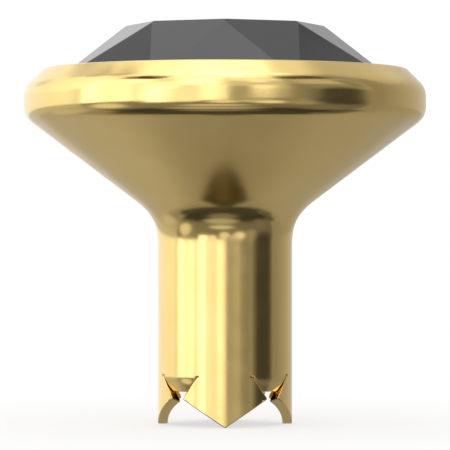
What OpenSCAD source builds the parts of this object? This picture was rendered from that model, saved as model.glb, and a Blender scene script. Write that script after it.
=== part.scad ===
// Crystal rivet: a faceted crystal in a one-piece sheet metal setting.
// The setting is a cone-shaped cup with its rim rolled over the crystal, drawn out below
// into a hollow shank that ends in sharp prongs. It is pushed through cloth or leather,
// and the prongs are then spread on the far side.
// Z points up, the axis is Z, and the prong tips lie at Z = 0.

/* [Crystal] */
// Diameter of the crystal at its girdle, which is its widest band
stone_d = 8.4; // [7:0.1:12]
// Number of corners of the table, which is the flat top
table_sides = 8; // [6:1:12]
// Width of the table across its corners
table_d = 4.4; // [3.6:0.1:5]
// Slope of the facets that fall away from the corners of the table
corner_slope = 41.2; // [40:0.2:44]
// Slope of the facets that fall away from the edges of the table
edge_slope = 33.8; // [32:0.2:35]
// How far outside the corners of the table the facets below them begin
ridge_w = 0.02; // [0.01:0.01:0.1]
// Least height of the girdle
girdle_h = 0.24; // [0.1:0.01:0.4]
// Width across its corners of the culet, which is the small flat at the point of the back
culet_d = 0.2; // [0.1:0.05:0.6]

/* [Head] */
// Thickness of the sheet metal
wall = 0.22; // [0.18:0.01:0.3]
// Slope of the cone that the crystal sits in
cone_slope = 36.9; // [30:0.1:42]
// Radius of the outside corner between the cone and the side of the head
bend_r = 0.45; // [0.3:0.05:0.5]
// Width of the bevel around the top of the head, where the rim is rolled over
bevel_w = 0.43; // [0.3:0.01:0.5]
// Height of that bevel
bevel_h = 0.43; // [0.3:0.01:0.5]
// Radius between the side of the head and the bevel
bevel_r = 0.45; // [0.1:0.05:0.5]
// Radius between the bevel and the top of the head
rim_r = 0.1; // [0.04:0.01:0.15]
// How far the rolled rim reaches in over the crystal
lip_w = 0.57; // [0.4:0.01:0.7]
// Thickness of the inner edge of the rim
lip_edge = 0.11; // [0.08:0.01:0.2]

/* [Shank] */
// Outside diameter of the hollow shank
shank_d = 3; // [2.6:0.1:4]
// Length from the prong tips to the point where the shank and the cone would meet
shank_l = 4.62; // [4:0.02:12]
// Radius that joins the shank to the cone on the outside
neck_r = 0.9; // [0.4:0.1:1.5]

/* [Prongs] */
// Number of prongs
prongs = 4; // [3:1:6]
// Angle of the point of each prong
point_angle = 113; // [100:1:125]
// Gap between the barbs of two neighbouring prongs
barb_gap = 0.32; // [0.2:0.02:0.5]
// Width of the window above each gap, at its top
window_w = 1.08; // [0.8:0.02:1.2]
// Height of the window above the notch between two prongs
window_h = 0.416; // [0.3:0.002:0.7]
// Angle by which the tongue of each window is bent inward
tongue_angle = 24; // [15:1:45]
// Length of the tongue
tongue_l = 0.37; // [0.3:0.01:0.45]
// Width of the cut between a tongue and its window
lance_cut = 0.03; // [0.02:0.01:0.06]
// Depth of the bend of the tongue below the outside of the shank
bend_inset = 0.02; // [0.01:0.01:0.06]

/* [Fits] */
// Clearance around the girdle
girdle_gap = 0.07; // [0.02:0.01:0.1]
// Height that the crystal keeps above the cone, for the adhesive
seat_gap = 0.02; // [0.01:0.01:0.05]
// Height that the rolled rim keeps above the facets
lip_gap = 0.02; // [0.01:0.01:0.05]

/* [Hidden] */
$fn = 96;

// Radii, from the axis outward
stone_r = stone_d / 2;
table_r = table_d / 2;
corner_r = table_r + ridge_w;
cup_r = stone_r + girdle_gap;
head_r = cup_r + wall;
lip_r = cup_r - lip_w;
shank_r = shank_d / 2;
bore_r = shank_r - wall;

// Heights of the crystal, which follow from the cone under it
table_step = 360 / table_sides;
table_edge_r = table_r * cos(table_step / 2);
cone_rise = wall / cos(cone_slope);
back_z = shank_l + cone_rise - shank_r * tan(cone_slope) + seat_gap;
culet_z = back_z + culet_d / 2 * tan(cone_slope);
girdle_z = back_z + stone_r * tan(cone_slope);
table_z = girdle_z + girdle_h + (stone_r - corner_r) * tan(corner_slope);
pavilion_slope = atan(tan(cone_slope) / cos(table_step / 2));

// Height of the edge facets at a radius, and the top of the rim that covers them
function crown_z(r) = table_z - (r - table_edge_r) * tan(edge_slope);
rim_z = crown_z(lip_r) + lip_gap + lip_edge;

// Height of the outside and of the inside of the cone at a radius
function cone_z(r) = shank_l + (r - shank_r) * tan(cone_slope);
function seat_z(r) = cone_z(r) + cone_rise;

// Prongs, notches and windows
prong_step = 360 / prongs;
notch_slope = 90 - point_angle / 2;
notch_z = shank_r * sin(prong_step / 2) * tan(notch_slope);
barb_a = prong_step / 2 - asin(barb_gap / 2 / shank_r);
barb_z = shank_r * sin(barb_a) * tan(notch_slope);
window_z = notch_z + window_h;
window_side = (window_w - barb_gap) / 2 / (window_z - barb_z);

// Most that one step of a round corner turns
arc_step = 6;

// Sizes that only need to reach past what they cut
reach = stone_d + shank_d;
past = 1;

// Points of corner i of an outline that is a list of [x, y, radius]: the corner itself where
// the radius is 0, or else points along the arc that joins its two sides
function corner(list, i) =
    let (
        p = [list[i][0], list[i][1]],
        r = list[i][2],
        before = list[(i + len(list) - 1) % len(list)],
        after = list[(i + 1) % len(list)],
        u = [before[0], before[1]] - p,
        v = [after[0], after[1]] - p,
        back = u / norm(u),
        ahead = v / norm(v),
        half = acos(back * ahead) / 2,
        centre = p + (back + ahead) / norm(back + ahead) * r / sin(half),
        spoke = p + back * r / tan(half) - centre,
        turn = sign(ahead[0] * back[1] - ahead[1] * back[0]) * (180 - 2 * half),
        steps = ceil(abs(turn) / arc_step)
    )
    r == 0 ? [p] : [for (k = [0:steps]) centre + turned(spoke, turn * k / steps)];

function turned(v, a) = [v[0] * cos(a) - v[1] * sin(a), v[0] * sin(a) + v[1] * cos(a)];

// Outline with round corners
module rounded(list) {
    polygon([for (i = [0:len(list) - 1]) each corner(list, i)]);
}

// Half section of everything inside the outer skin of the setting
module skin_section() {
    rounded([
        [0, 0, 0],
        [shank_r, 0, 0],
        [shank_r, shank_l, neck_r],
        [head_r, cone_z(head_r), bend_r],
        [head_r, rim_z - bevel_h, bevel_r],
        [head_r - bevel_w, rim_z, rim_r],
        [0, rim_z, 0]
    ]);
}

// Half section of the hollow: the bore, the cone seat, the wall around the girdle and
// the underside of the rolled rim
module hollow_section() {
    rounded([
        [0, -past, 0],
        [bore_r, -past, 0],
        [bore_r, seat_z(bore_r), neck_r + wall],
        [cup_r, seat_z(cup_r), bend_r - wall],
        [cup_r, crown_z(cup_r) + lip_gap, 0],
        [lip_r, crown_z(lip_r) + lip_gap, 0],
        [lip_r, rim_z + past, 0],
        [0, rim_z + past, 0]
    ]);
}

// Wedge below the flank of the prong at angle 0, on one side of it
module flank(side) {
    rotate([90, 0, 90])
        translate([0, 0, -reach])
            linear_extrude(2 * reach)
                polygon([[0, 0], [side * reach, reach * tan(notch_slope)], [side * reach, -past], [0, -past]]);
}

// Notch between the prong at angle 0 and the next one
module notch() {
    intersection() {
        flank(1);
        rotate([0, 0, prong_step]) flank(-1);
    }
}

// Window over a notch, for the prong gap at angle 0
module window() {
    rotate([90, 0, 90])
        linear_extrude(reach)
            polygon([
                [-window_w / 2, window_z],
                [-barb_gap / 2, barb_z],
                [barb_gap / 2, barb_z],
                [window_w / 2, window_z]
            ]);
}

// Half of the tongue at angle 0: a flat flap under the top of the window, creased in the middle
module tongue_half() {
    hinge_w = window_w / 2 - lance_cut;
    end_w = hinge_w - tongue_l * window_side;
    crease_a = asin(hinge_w / shank_r) / 2;
    intersection() {
        cylinder(r = shank_r - bend_inset / 2, h = window_z + wall);
        translate([0, 0, window_z - reach / 2]) cube([reach, reach, reach]);
        rotate([0, 0, crease_a])
            translate([shank_r * cos(crease_a) - bend_inset, 0, window_z])
                rotate([0, tongue_angle, 0])
                    rotate([90, 0, 90])
                        translate([0, 0, -wall])
                            linear_extrude(wall)
                                polygon([
                                    [-hinge_w, wall],
                                    [-hinge_w, -tongue_l],
                                    [end_w / 2, -tongue_l],
                                    [hinge_w / 2, 0],
                                    [hinge_w / 2, wall]
                                ]);
    }
}

// Setting: cup, rolled rim, hollow shank and prongs, all of one sheet
module setting() {
    color("gold") {
        difference() {
            rotate_extrude() difference() {
                skin_section();
                hollow_section();
            }
            for (i = [0:prongs - 1]) {
                rotate([0, 0, i * prong_step - 90]) notch();
                rotate([0, 0, (i + 0.5) * prong_step - 90]) window();
            }
        }
        for (i = [0:prongs - 1])
            rotate([0, 0, (i + 0.5) * prong_step - 90]) {
                tongue_half();
                mirror([0, 1, 0]) tongue_half();
            }
    }
}

// Everything under a plane that passes through a height at a radius and falls away outward
module under_facet(r, z, slope) {
    translate([r, 0, z])
        rotate([0, slope, 0])
            translate([-reach, -reach, -reach])
                cube([2 * reach, 2 * reach, reach]);
}

// Everything over a plane that passes through a height on the axis and rises outward
module over_facet(z, slope) {
    translate([0, 0, z])
        rotate([0, -slope, 0])
            translate([-reach, -reach, 0])
                cube([2 * reach, 2 * reach, reach]);
}

// Crystal: a pointed back that fits the cone, a narrow girdle and a crown of triangles
module crystal() {
    color("dimgray") intersection() {
        rotate([0, 0, table_step / 4])
            translate([0, 0, culet_z])
                cylinder(r = stone_r, h = table_z - culet_z);
        intersection_for(i = [0:table_sides - 1])
            rotate([0, 0, i * table_step - 90]) intersection() {
                under_facet(corner_r, table_z, corner_slope);
                rotate([0, 0, table_step / 2]) under_facet(table_edge_r, table_z, edge_slope);
                rotate([0, 0, table_step / 2]) over_facet(back_z, pavilion_slope);
            }
    }
}

setting();
crystal();
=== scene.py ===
import math

import bmesh
import bpy
import numpy as np
from mathutils import Matrix, Vector


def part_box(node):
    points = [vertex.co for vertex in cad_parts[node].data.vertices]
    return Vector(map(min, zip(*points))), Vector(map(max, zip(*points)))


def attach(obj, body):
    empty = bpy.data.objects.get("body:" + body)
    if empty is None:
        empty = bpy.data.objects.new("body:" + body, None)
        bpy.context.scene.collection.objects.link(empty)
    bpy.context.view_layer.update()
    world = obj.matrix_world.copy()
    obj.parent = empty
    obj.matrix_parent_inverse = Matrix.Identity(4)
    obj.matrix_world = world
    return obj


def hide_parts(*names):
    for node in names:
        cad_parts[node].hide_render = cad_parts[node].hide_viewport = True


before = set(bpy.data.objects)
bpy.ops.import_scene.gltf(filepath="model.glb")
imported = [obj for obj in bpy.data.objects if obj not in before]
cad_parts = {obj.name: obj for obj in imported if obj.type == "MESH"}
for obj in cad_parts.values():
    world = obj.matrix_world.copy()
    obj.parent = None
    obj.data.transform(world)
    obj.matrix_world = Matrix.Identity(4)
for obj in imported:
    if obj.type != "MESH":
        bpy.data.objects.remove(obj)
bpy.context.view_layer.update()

# The meshes are built in millimetres and scaled to metres at the end
MM = 0.001

# Sizes of the setting, in millimetres and degrees
SHANK_R = 1.5
WALL = 0.22
CONE_SLOPE = 36.9
NECK_R = 0.9
SHANK_L = 4.62
BEND_R = 0.45
BEVEL_W = 0.43
BEVEL_H = 0.43
BEVEL_R = 0.45
RIM_R = 0.1
LIP_W = 0.57
LIP_GAP = 0.02
# How far the roundings reach against plain arcs, and how full they are
HEAD_EASE = 1.15
HEAD_FULLNESS = 0.27
NECK_EASE = 1.44
NECK_FULLNESS = 0.23

# Sizes of the prongs, windows and tongues
PRONGS = 4
POINT_ANGLE = 113
BARB_GAP = 0.32
WINDOW_W = 1.08
WINDOW_H = 0.416
TONGUE_ANGLE = 24
TONGUE_L = 0.37
TONGUE_END_W = 0.5
LANCE_CUT = 0.03
TONGUE_BEND_R = 0.5

# Sizes of the crystal
TABLE_SIDES = 8
TABLE_D = 4.4
RIDGE_W = 0.02
CORNER_SLOPE = 41.2
EDGE_SLOPE = 33.8
CULET_D = 0.2

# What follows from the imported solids
low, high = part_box("setting")
HEAD_R = high.x / MM
RIM_Z = high.z / MM
low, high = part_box("crystal")
STONE_R = high.x / MM
TABLE_Z = high.z / MM
CULET_Z = low.z / MM

CUP_R = HEAD_R - WALL
LIP_R = CUP_R - LIP_W
BORE_R = SHANK_R - WALL


def sin(degrees):
    return math.sin(math.radians(degrees))


def cos(degrees):
    return math.cos(math.radians(degrees))


def tan(degrees):
    return math.tan(math.radians(degrees))


TABLE_EDGE_R = TABLE_D / 2 * cos(180 / TABLE_SIDES)


def crown_z(r):
    """Height of the facets under the table's edges, at a radius."""
    return TABLE_Z - (r - TABLE_EDGE_R) * tan(EDGE_SLOPE)


def cone_z(r):
    """Height of the outside of the cone, at a radius."""
    return SHANK_L + (r - SHANK_R) * tan(CONE_SLOPE)


# Prongs: the angle from a prong's middle to the notch, and the edges of the window
HALF_PITCH = 180 / PRONGS
FLANK = tan(90 - POINT_ANGLE / 2)
WINDOW_Z = SHANK_R * sin(HALF_PITCH) * FLANK + WINDOW_H
BARB_Z = SHANK_R * sin(HALF_PITCH - math.degrees(math.asin(BARB_GAP / 2 / SHANK_R))) * FLANK
WINDOW_SIDE = (WINDOW_Z - BARB_Z) / ((WINDOW_W - BARB_GAP) / 2)


def smooth(x):
    x = min(max(x, 0.0), 1.0)
    return x * x * (3 - 2 * x)


def arc(centre, radius, start, end, steps):
    return [
        (centre[0] + radius * cos(a), centre[1] + radius * sin(a))
        for a in np.linspace(start, end, steps)
    ]


def line(start, end, steps):
    return [
        (start[0] + (end[0] - start[0]) * k, start[1] + (end[1] - start[1]) * k)
        for k in np.linspace(0, 1, steps)
    ]


def eased(before, at, after, reach, fullness, steps):
    """Points of a corner that is rounded off with an even flow of the surface."""
    back = (Vector(before) - Vector(at)).normalized() * reach
    ahead = (Vector(after) - Vector(at)).normalized() * reach
    points = []
    for k in np.linspace(0, 1, steps):
        b = [(1 - k) ** 3, 3 * (1 - k) ** 2 * k, 3 * (1 - k) * k**2, k**3]
        p = Vector(at) + back * (b[0] + b[1] * fullness) + ahead * (b[3] + b[2] * fullness)
        points.append((p.x, p.y))
    return points


def profile():
    """Matched points (radius, height) of the outside and the inside of the sheet, from the
    tops of the windows up to the inner edge of the rolled rim."""
    half_turn = (90 - CONE_SLOPE) / 2
    neck_corner = (SHANK_R, SHANK_L)
    neck_reach = NECK_EASE * NECK_R * tan(half_turn)
    inner_neck = (BORE_R + NECK_R + WALL, SHANK_L - NECK_R * tan(half_turn))
    low_corner = (HEAD_R, cone_z(HEAD_R))
    high_corner = (HEAD_R, RIM_Z - BEVEL_H)
    top_corner = (HEAD_R - BEVEL_W, RIM_Z)
    inner_r = BEND_R - WALL
    bend = (CUP_R - inner_r, low_corner[1] + BEND_R * tan(half_turn))
    bevel = math.degrees(math.atan2(BEVEL_W, BEVEL_H))
    lip_corner = (CUP_R, crown_z(CUP_R) + LIP_GAP)
    lip_edge = (LIP_R, crown_z(LIP_R) + LIP_GAP)
    top_reach = RIM_R * tan((90 - bevel) / 2)

    outer, inner = [], []
    for z in [WINDOW_Z + step for step in (0, 0.006, 0.03, 0.1)] + list(
        np.linspace(WINDOW_Z + 0.35, SHANK_L - neck_reach, 9)
    ):
        outer.append((SHANK_R, z))
        inner.append((BORE_R, z))
    outer += eased(outer[-1], neck_corner, low_corner, neck_reach, NECK_FULLNESS, 32)[1:]
    inner += arc(inner_neck, NECK_R + WALL, 180, 90 + CONE_SLOPE, 31)
    head_reach = HEAD_EASE * BEND_R * tan(half_turn)
    outer += eased(neck_corner, low_corner, high_corner, head_reach, HEAD_FULLNESS, 28)
    inner += arc(bend, inner_r, CONE_SLOPE - 90, 0, 28)
    head_reach = HEAD_EASE * BEVEL_R * tan(bevel / 2)
    outer += eased(low_corner, high_corner, top_corner, head_reach, HEAD_FULLNESS, 26)
    inner += line((CUP_R, bend[1]), lip_corner, 27)[1:]
    top_round = (HEAD_R - BEVEL_W - top_reach, RIM_Z - RIM_R)
    outer += arc(top_round, RIM_R, bevel, 90, 10)
    outer += [(LIP_R, RIM_Z)]
    inner += line(lip_corner, lip_edge, 12)[1:]
    return outer, inner


def turned(r, z, azimuth):
    return (r * cos(azimuth), r * sin(azimuth), z)


class Sheet:
    """A sheet of metal, kept as pairs of points on its outside and its inside. The faces join
    the pairs, and every free edge is closed by a face between the two sides."""

    def __init__(self):
        self.outer, self.inner, self.faces = [], [], []

    def pair(self, outer, inner):
        self.outer.append(outer)
        self.inner.append(inner)
        return len(self.outer) - 1

    def face(self, *corners):
        kept = []
        for c in corners:
            if c not in kept:
                kept.append(c)
        if len(kept) > 2:
            self.faces.append(kept)

    def mesh(self, name):
        bm = bmesh.new()
        out = [bm.verts.new(p) for p in self.outer]
        inn = [bm.verts.new(p) for p in self.inner]
        uses = {}
        for f in self.faces:
            bm.faces.new([out[i] for i in f])
            bm.faces.new([inn[i] for i in reversed(f)])
            for a, b in zip(f, f[1:] + f[:1]):
                uses.setdefault(frozenset((a, b)), []).append((a, b))
        for sides in uses.values():
            if len(sides) == 1:
                a, b = sides[0]
                bm.faces.new((out[b], out[a], inn[a], inn[b]))
        bmesh.ops.recalc_face_normals(bm, faces=bm.faces)
        for f in bm.faces:
            f.smooth = True
        mesh = bpy.data.meshes.new(name)
        bm.to_mesh(mesh)
        bm.free()
        return mesh


def offset_angle(half_width, r):
    """Angle from a prong's middle to a line that lies half_width from the notch's middle."""
    return HALF_PITCH - math.degrees(math.asin(half_width / r))


def barb_angle(r):
    """Angle from a prong's middle to the barb, where the flank meets the window's side."""
    low_a, high_a = 0.0, HALF_PITCH
    for _ in range(40):
        a = (low_a + high_a) / 2
        side = BARB_Z + (r * sin(HALF_PITCH - a) - BARB_GAP / 2) * WINDOW_SIDE
        if side > r * sin(a) * FLANK:
            low_a = a
        else:
            high_a = a
    return low_a


NECK_STEPS, WING_STEPS, TONGUE_STEPS, BLADE_ROWS = 16, 10, 10, 10


def half_angles(r):
    """Angles of the columns from a prong's middle to the notch's middle, at a radius: over
    the prong's neck, over the lanced cut and over half of the tongue."""
    window = offset_angle(WINDOW_W / 2, r)
    tongue = offset_angle(WINDOW_W / 2 - LANCE_CUT, r)
    neck = list(np.linspace(0, window, NECK_STEPS + 1))
    return neck + list(np.linspace(tongue, HALF_PITCH, TONGUE_STEPS + 1))


def ring_angles():
    """Angles on the outside and the inside of each column, once around."""
    pairs = []
    for k in range(PRONGS):
        middle = 2 * HALF_PITCH * k - 90
        half = list(zip(half_angles(SHANK_R), half_angles(BORE_R)))
        pairs += [(middle - o, middle - i) for o, i in reversed(half[1:-1])]
        pairs += [(middle + o, middle + i) for o, i in half]
    return pairs


def tongue_rows(sheet, azimuth, top):
    """Adds the tongue that hangs from the pairs in top, around the notch at an azimuth."""
    rows = 14
    hinge = WINDOW_W / 2 - LANCE_CUT
    n = len(top)
    grid = [top]
    for m in range(1, rows + 1):
        s = TONGUE_L * (m / rows) ** 1.3
        width = hinge + (TONGUE_END_W / 2 - hinge) * s / TONGUE_L
        row = []
        for c in range(n):
            t = (2 * c / (n - 1) - 1) * width
            a = min(TONGUE_ANGLE, math.degrees(s / TONGUE_BEND_R))
            straight = s - TONGUE_BEND_R * math.radians(a)
            inward = TONGUE_BEND_R * (1 - cos(a)) + straight * sin(a)
            down = TONGUE_BEND_R * sin(a) + straight * cos(a)
            x = math.sqrt(SHANK_R**2 - t**2) - inward
            inner_x = math.sqrt(BORE_R**2 - t**2) - inward + WALL * (1 - cos(a))
            row.append(sheet.pair(
                from_notch(x, t, WINDOW_Z - down, azimuth),
                from_notch(inner_x, t, WINDOW_Z - down + WALL * sin(a), azimuth),
            ))
        grid.append(row)
    for m in range(rows):
        for c in range(n - 1):
            sheet.face(grid[m][c], grid[m + 1][c], grid[m + 1][c + 1], grid[m][c + 1])


def from_notch(x, t, z, azimuth):
    """Point at a distance x out and t along, seen from the axis towards an azimuth."""
    return (x * cos(azimuth) - t * sin(azimuth), x * sin(azimuth) + t * cos(azimuth), z)


def prong_rows(sheet, azimuth, neck):
    """Adds the blade of the prong that hangs from the pairs in neck, with its two wings."""
    out_half = half_angles(SHANK_R)[: NECK_STEPS + 1]
    in_half = half_angles(BORE_R)[: NECK_STEPS + 1]
    out_half += list(np.linspace(out_half[-1], barb_angle(SHANK_R), WING_STEPS + 1))[1:]
    in_half += list(np.linspace(in_half[-1], barb_angle(BORE_R), WING_STEPS + 1))[1:]
    last = len(out_half) - 1
    grid = []
    for c in range(-last, last + 1):
        out_a, in_a = out_half[abs(c)], in_half[abs(c)]
        side = 1 if c >= 0 else -1
        column = []
        for m in range(BLADE_ROWS + 1):
            if m == 0 and abs(c) <= NECK_STEPS:
                column.append(neck[c + NECK_STEPS])
                continue
            if abs(c) == last and m > 0:
                column.append(column[0])
                continue
            share = m / BLADE_ROWS
            column.append(sheet.pair(
                turned(SHANK_R, blade_z(SHANK_R, out_a, share), azimuth + side * out_a),
                turned(BORE_R, blade_z(BORE_R, in_a, share), azimuth + side * in_a),
            ))
        grid.append(column)
    for c in range(2 * last):
        for m in range(BLADE_ROWS):
            sheet.face(grid[c][m], grid[c][m + 1], grid[c + 1][m + 1], grid[c + 1][m])


def blade_z(r, a, share):
    """Height of a point of the blade, a share of the way from its top to its flank."""
    flank = r * sin(a) * FLANK
    side = BARB_Z + (r * sin(HALF_PITCH - a) - BARB_GAP / 2) * WINDOW_SIDE
    top = min(side, WINDOW_Z)
    return top + (flank - top) * share


def setting_mesh():
    sheet = Sheet()
    outer, inner = profile()
    angles = ring_angles()
    columns = len(angles)
    per_prong = columns // PRONGS
    grid = []
    for (ro, zo), (ri, zi) in zip(outer, inner):
        grid.append([sheet.pair(turned(ro, zo, o), turned(ri, zi, i)) for o, i in angles])
    for i in range(len(grid) - 1):
        for j in range(columns):
            k = (j + 1) % columns
            sheet.face(grid[i][j], grid[i][k], grid[i + 1][k], grid[i + 1][j])
    first = per_prong // 2 - 1
    for k in range(PRONGS):
        middle = first + k * per_prong
        azimuth = 2 * HALF_PITCH * k - 90
        neck = [grid[0][(middle + c) % columns] for c in range(-NECK_STEPS, NECK_STEPS + 1)]
        prong_rows(sheet, azimuth, neck)
        start = middle + NECK_STEPS + 1
        top = [grid[0][(start + c) % columns] for c in range(2 * TONGUE_STEPS + 1)]
        tongue_rows(sheet, azimuth + HALF_PITCH, top)
    return sheet.mesh("setting_sheet")


def crystal_mesh():
    """The stone, cut plane by plane from a round blank."""
    bm = bmesh.new()
    depth = TABLE_Z - CULET_Z
    bmesh.ops.create_cone(
        bm, cap_ends=True, segments=256, radius1=STONE_R, radius2=STONE_R, depth=depth,
        matrix=Matrix.Translation((0, 0, CULET_Z + depth / 2)),
    )
    back = math.degrees(math.atan(tan(CONE_SLOPE) / cos(180 / TABLE_SIDES)))
    back_z = CULET_Z - CULET_D / 2 * tan(CONE_SLOPE)
    for i in range(TABLE_SIDES):
        corner = 360 / TABLE_SIDES * i - 90
        edge = corner + 180 / TABLE_SIDES
        cut_facet(bm, corner, TABLE_D / 2 + RIDGE_W, TABLE_Z, CORNER_SLOPE, 1)
        cut_facet(bm, edge, TABLE_EDGE_R, TABLE_Z, EDGE_SLOPE, 1)
        cut_facet(bm, edge, 0, back_z, back, -1)
    mesh = bpy.data.meshes.new("crystal_facets")
    bm.to_mesh(mesh)
    bm.free()
    return mesh


def cut_facet(bm, azimuth, r, z, slope, up):
    """Takes off what lies outside a facet that passes through height z at radius r."""
    normal = Vector((sin(slope) * cos(azimuth), sin(slope) * sin(azimuth), up * cos(slope)))
    cut = bmesh.ops.bisect_plane(
        bm, geom=bm.verts[:] + bm.edges[:] + bm.faces[:], dist=1e-6,
        plane_co=turned(r, z, azimuth), plane_no=normal, clear_outer=True,
    )
    rim = [g for g in cut["geom_cut"] if isinstance(g, bmesh.types.BMEdge)]
    bmesh.ops.edgenet_fill(bm, edges=rim)
    bmesh.ops.recalc_face_normals(bm, faces=bm.faces)


def finished_object(name, mesh, width, angle, segments):
    """Object with its edges rounded, in metres."""
    raw = bpy.data.objects.new(name + "_raw", mesh)
    bpy.context.scene.collection.objects.link(raw)
    bevel = raw.modifiers.new("edges", "BEVEL")
    bevel.width = width
    bevel.segments = segments
    bevel.limit_method = "ANGLE"
    bevel.angle_limit = math.radians(angle)
    bevel.harden_normals = True
    bevel.use_clamp_overlap = False
    graph = bpy.context.evaluated_depsgraph_get()
    done = bpy.data.meshes.new_from_object(raw.evaluated_get(graph), depsgraph=graph)
    done.transform(Matrix.Scale(MM, 4))
    bpy.data.objects.remove(raw)
    piece = bpy.data.objects.new(name, done)
    bpy.context.scene.collection.objects.link(piece)
    return piece


def new_material(name):
    material = bpy.data.materials.new(name)
    material.use_nodes = True
    tree = material.node_tree
    return material, tree, tree.nodes["Principled BSDF"]


def noise(tree, scale, detail, stretch=(1, 1, 1)):
    """Noise over the object's own coordinates, with a scale in waves per metre."""
    coords = tree.nodes.new("ShaderNodeTexCoord")
    mapping = tree.nodes.new("ShaderNodeMapping")
    mapping.inputs["Scale"].default_value = stretch
    texture = tree.nodes.new("ShaderNodeTexNoise")
    texture.inputs["Scale"].default_value = scale
    texture.inputs["Detail"].default_value = detail
    tree.links.new(coords.outputs["Object"], mapping.inputs["Vector"])
    tree.links.new(mapping.outputs["Vector"], texture.inputs["Vector"])
    return texture.outputs["Fac"]


def mapped(tree, value, low_out, high_out, low_in=0.3, high_in=0.7):
    node = tree.nodes.new("ShaderNodeMapRange")
    node.inputs["From Min"].default_value = low_in
    node.inputs["From Max"].default_value = high_in
    node.inputs["To Min"].default_value = low_out
    node.inputs["To Max"].default_value = high_out
    tree.links.new(value, node.inputs["Value"])
    return node.outputs["Result"]


def gold_material():
    material, tree, shader = new_material("gold_plate")
    tint = tree.nodes.new("ShaderNodeMix")
    tint.data_type = "RGBA"
    tint.inputs["A"].default_value = (0.87, 0.63, 0.235, 1)
    tint.inputs["B"].default_value = (0.90, 0.67, 0.27, 1)
    tree.links.new(mapped(tree, noise(tree, 900, 3), 0, 1), tint.inputs["Factor"])
    tree.links.new(tint.outputs["Result"], shader.inputs["Base Color"])
    shader.inputs["Metallic"].default_value = 1.0
    tree.links.new(mapped(tree, noise(tree, 2500, 4), 0.13, 0.18), shader.inputs["Roughness"])
    bump = tree.nodes.new("ShaderNodeBump")
    bump.inputs["Strength"].default_value = 0.02
    bump.inputs["Distance"].default_value = 0.00002
    tree.links.new(noise(tree, 16000, 2), bump.inputs["Height"])
    tree.links.new(bump.outputs["Normal"], shader.inputs["Normal"])
    return material


def crystal_material():
    material, tree, shader = new_material("smoke_crystal")
    tint = tree.nodes.new("ShaderNodeMix")
    tint.data_type = "RGBA"
    tint.inputs["A"].default_value = (0.019, 0.019, 0.020, 1)
    tint.inputs["B"].default_value = (0.029, 0.029, 0.029, 1)
    tree.links.new(mapped(tree, noise(tree, 400, 2), 0, 1), tint.inputs["Factor"])
    tree.links.new(tint.outputs["Result"], shader.inputs["Base Color"])
    shader.inputs["IOR"].default_value = 1.54
    tree.links.new(mapped(tree, noise(tree, 3000, 3), 0.012, 0.03), shader.inputs["Roughness"])
    return material


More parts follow.
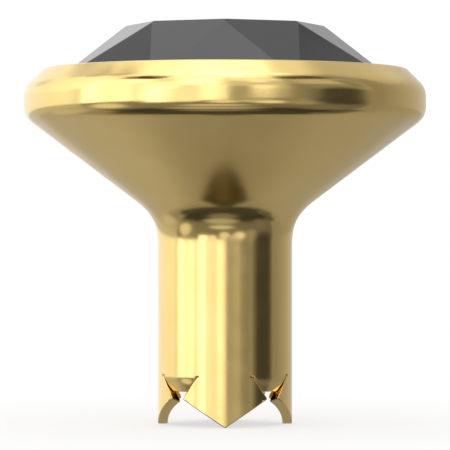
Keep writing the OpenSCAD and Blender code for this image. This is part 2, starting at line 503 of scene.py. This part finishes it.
# The studio, a glowing dome seen only in reflections. Above the horizon it holds lights, cards
# and backdrop. Below the horizon it is a painted reflection of the floor with painted shade on
# it, because the real floor is hidden from reflections.
# Azimuth 0 faces the camera and negative is to its left. A panel goes from a left to a right
# azimuth and from a low to a high elevation, has a level at its left and its right end, and
# fades over the width of its upright and of its level edges. Each one is laid over those
# before it.
PANELS = (
    # Backdrop, brighter on the left
    (-183, -86, -6, 100, 1.0, 1.5, 6, 4),
    (86, 183, -6, 100, 0.25, 0.72, 6, 4),
    (-183, -92, -6, 5, 1.0, 1.22, 6, 5),
    (108, 183, 48, 64, 0.48, 0.85, 10, 8),
    (112, 160, 26, 50, 0.54, 0.72, 10, 10),
    # Painted reflection of the floor. Behind the object it darkens towards the object with
    # painted shade. In front of the object and right under it, it is dark with painted shade.
    (-183, -91, -90, -6, 0.66, 0.58, 6, 4),
    (91, 183, -90, -6, 0.3, 0.5, 6, 4),
    (-183, -91, -90, -18, 0.48, 0.47, 6, 8),
    (-122, -91, -90, -34, 0.34, 0.3, 14, 14),
    (-183, -91, -90, -62, 0.32, 0.31, 6, 22),
    (112, 183, -90, -20, 0.38, 0.39, 14, 10),
    (91, 183, -90, -62, 0.31, 0.31, 6, 22),
    (-89, 89, -90, -6, 0.26, 0.16, 5, 4),
    (-89, 89, -90, -42, 0.05, 0.05, 5, 14),
    (-108, 108, -90, -60, 0.06, 0.06, 12, 10),
    (-200, 200, -90, -83, 0.07, 0.07, 6, 6),
    # Large softbox on the left, with its accents
    (-88, 1, -5.5, 66, 1.6, 1.6, 4, 3),
    (-96, -88, -6, 10, 1.0, 1.0, 4, 5),
    (-87, -75, -5.5, 34, 2.1, 2.0, 4, 4),
    (-65, -56, -5.5, 8, 1.85, 1.85, 5, 4),
    (-66, -50, 30, 44, 2.1, 1.9, 6, 6),
    (-54, -48, -6, 30, 1.25, 1.25, 5, 6),
    (-46, -34, 34, 50, 1.0, 1.0, 6, 6),
    (-45, -29, -12, 14, 2.3, 2.2, 6, 6),
    (-35, -24, -9, 6, 1.3, 1.2, 6, 5),
    (-26, -12, -7, 4, 1.25, 1.2, 6, 4),
    (-26, -14, -6, 18, 1.14, 1.14, 6, 6),
    (-28, -13, -6, 0, 1.32, 1.26, 5, 3),
    (-26, -5, 22, 64, 2.1, 2.1, 7, 6),
    (-12, -4, -6, 20, 1.7, 1.7, 5, 6),
    (-4, 2, -6, 66, 1.15, 1.15, 4, 4),
    (-6, 1, 2, 18, 1.55, 1.5, 4, 4),
    (-102, -84, 55, 62, 0.95, 0.6, 10, 5),
    (-85, -48, 49, 66, 0.03, 0.03, 9, 5),
    # Dim side on the right: reflectors and cards
    (2, 92, -6, 66, 0.42, 0.4, 4, 4),
    (4, 14, -6, 5, 0.4, 0.42, 4, 4),
    (14, 26, -6, 2, 0.44, 0.44, 5, 4),
    (26, 52, -6, 24, 0.28, 0.25, 5, 6),
    (42, 49, -6, 1, 0.34, 0.34, 5, 3),
    (3, 36, 14, 66, 0.75, 0.7, 5, 6),
    (3, 38, 40, 66, 1.2, 1.1, 5, 8),
    (15, 29, 3, 18, 1.3, 1.3, 6, 3),
    (29, 37, 3, 14, 0.7, 0.6, 5, 3),
    (15, 26, 30, 66, 1.3, 1.3, 6, 6),
    (46, 74, 24, 48, 0.58, 0.58, 8, 8),
    (46, 74, 12, 24, 0.28, 0.32, 8, 8),
    (76, 86, 14, 42, 0.24, 0.24, 6, 10),
    (44, 88, 50, 66, 0.06, 0.06, 9, 5),
    # Overhead
    (-90, -46, 64, 100, 1.1, 1.1, 8, 5),
    (-50, 46, 61, 100, 1.9, 1.5, 8, 5),
    (46, 92, 64, 100, 0.58, 0.6, 8, 5),
    (-183, -86, 60, 100, 1.5, 1.5, 8, 10),
    (88, 183, 63, 100, 0.9, 1.15, 8, 10),
    (-115, 100, 70, 100, 2.2, 1.6, 10, 6),
    (-200, 200, 77, 100, 2.1, 1.8, 8, 6),
    (-72, 72, 79, 87, 3.2, 3.2, 16, 3),
)
# Soft round lights and flags. Below the horizon, painted reflections of lights in the floor
# and spots of painted shade on it. Columns: azimuth, elevation, half width, half height and
# level
SPOTS = (
    (-149, 44, 9, 8, 0.62),
    (151, 44, 6, 6, 0.3),
    (-142, 22, 8, 7, 0.93),
    (-136, 43, 6, 5, 0.8),
    (-126, 50, 8, 5, 0.56),
    (-116, 59, 10, 5, 0.5),
    (69, -1, 19, 14, 0.06),
    (-73, -22, 12, 12, 0.85),
    (-1, -13, 9, 6, 0.95),
    (25, -13, 10, 6, 1.05),
    (46, -14, 9, 9, 0.36),
    (-98, -57, 12, 7, 0.08),
    (98, -53, 10, 7, 0.12),
    (-6, -63, 36, 10, 0.22),
    (-8, -47, 34, 9, 0.48),
    (-22, -9, 9, 4, 1.1),
    (14, -10, 6, 4, 0.72),
    (-114, -28, 17, 10, 0.6),
    (93, -42, 7, 9, 0.11),
    (-6, -30, 22, 5, 0.72),
    (66, -34, 13, 12, 0.2),
)
BASE_LEVEL = 0.4
DOME_R = 0.4
DOME_STEP = 1.0


def card_share(value, start, end, soft):
    rise = smooth((value - start) / soft + 0.5)
    return rise * smooth((end - value) / soft + 0.5)


def studio_level(azimuth, elevation):
    level = BASE_LEVEL
    for left, right, bottom, top, left_level, right_level, side_edge, edge in PANELS:
        upright = card_share(elevation, bottom, top, edge)
        if upright == 0:
            continue
        share, along = max(
            (card_share(azimuth + turn, left, right, side_edge), azimuth + turn)
            for turn in (-360, 0, 360)
        )
        across = min(max((along - left) / (right - left), 0), 1)
        level += (left_level + (right_level - left_level) * across - level) * share * upright
    for spot_az, spot_el, half_w, half_h, spot in SPOTS:
        away = math.hypot((azimuth - spot_az) / half_w, (elevation - spot_el) / half_h)
        level += (spot - level) * smooth((1.35 - away) / 0.75)
    return level


def emission(name, level_attribute):
    material = bpy.data.materials.new(name)
    material.use_nodes = True
    tree = material.node_tree
    tree.nodes.clear()
    output = tree.nodes.new("ShaderNodeOutputMaterial")
    glow = tree.nodes.new("ShaderNodeEmission")
    level = tree.nodes.new("ShaderNodeAttribute")
    level.attribute_name = level_attribute
    tree.links.new(level.outputs["Fac"], glow.inputs["Strength"])
    tree.links.new(glow.outputs["Emission"], output.inputs["Surface"])
    return material


def build_dome():
    azimuths = np.arange(-180, 180, DOME_STEP)
    elevations = np.arange(-90 + DOME_STEP / 2, 90, DOME_STEP)
    points, levels, faces = [], [], []
    for el in elevations:
        for az in azimuths:
            points.append((
                DOME_R * cos(el) * sin(az), -DOME_R * cos(el) * cos(az), DOME_R * sin(el),
            ))
            levels.append(studio_level(az, el))
    n = len(azimuths)
    for i in range(len(elevations) - 1):
        for j in range(n):
            k = (j + 1) % n
            faces.append((i * n + j, i * n + k, (i + 1) * n + k, (i + 1) * n + j))
    faces.append(tuple(range(n)))
    faces.append(tuple(range((len(elevations) - 1) * n, len(elevations) * n)))
    mesh = bpy.data.meshes.new("studio_dome")
    mesh.from_pydata(points, [], faces)
    attribute = mesh.attributes.new("level", "FLOAT", "POINT")
    attribute.data.foreach_set("value", levels)
    dome = bpy.data.objects.new("studio_dome", mesh)
    # The dome's glow holds the studio lights and a painted reflection of the floor with its
    # painted shade
    mesh.materials.append(emission("studio_lights_and_painted_floor_shade", "level"))
    bpy.context.scene.collection.objects.link(dome)
    dome.visible_camera = False
    dome.visible_diffuse = False
    dome.visible_shadow = False


def build_floor():
    size = 3.0
    mesh = bpy.data.meshes.new("studio_floor")
    mesh.from_pydata(
        [(-size, -size, 0), (size, -size, 0), (size, size, 0), (-size, size, 0)],
        [], [(0, 1, 2, 3)],
    )
    material, tree, shader = new_material("pale_floor")
    shader.inputs["Base Color"].default_value = (0.36, 0.36, 0.36, 1)
    shader.inputs["Emission Color"].default_value = (1, 1, 1, 1)
    shader.inputs["Emission Strength"].default_value = 0.65
    shader.inputs["Roughness"].default_value = 1.0
    shader.inputs["Specular IOR Level"].default_value = 0.0
    mesh.materials.append(material)
    floor = bpy.data.objects.new("studio_floor", mesh)
    bpy.context.scene.collection.objects.link(floor)
    floor.visible_glossy = False


def build_world():
    world = bpy.data.worlds.new("studio")
    bpy.context.scene.world = world
    world.use_nodes = True
    world.node_tree.nodes["Background"].inputs["Color"].default_value = (1, 1, 1, 1)
    world.node_tree.nodes["Background"].inputs["Strength"].default_value = 1.0


# Camera, from the photograph: its distance from the axis, its height over the prong tips,
# the height that it aims at on the axis, and its angle of view
CAMERA_DISTANCE = 0.06504
CAMERA_Z = 0.004362
CAMERA_AIM_Z = 0.004452
PIXELS_PER_DISTANCE = 2905
FRAME_PIXELS = 450


def build_camera():
    data = bpy.data.cameras.new("camera")
    data.sensor_fit = "HORIZONTAL"
    data.angle = 2 * math.atan(FRAME_PIXELS / 2 / PIXELS_PER_DISTANCE)
    data.clip_start = 0.002
    data.clip_end = 10.0
    camera = bpy.data.objects.new("camera", data)
    bpy.context.scene.collection.objects.link(camera)
    camera.location = (0, -CAMERA_DISTANCE, CAMERA_Z)
    aim = Vector((0, 0, CAMERA_AIM_Z)) - camera.location
    camera.rotation_euler = aim.to_track_quat("-Z", "Y").to_euler()
    bpy.context.scene.camera = camera


build_camera()
build_world()
build_floor()
build_dome()

setting = finished_object("setting_shell", setting_mesh(), width=0.024, angle=35, segments=3)
setting.data.materials.clear()
setting.data.materials.append(gold_material())
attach(setting, "root")
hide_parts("setting")

crystal = finished_object("crystal_stone", crystal_mesh(), width=0.015, angle=8, segments=2)
crystal.data.materials.clear()
crystal.data.materials.append(crystal_material())
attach(crystal, "root")
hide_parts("crystal")

bpy.context.scene.view_settings.view_transform = "Standard"
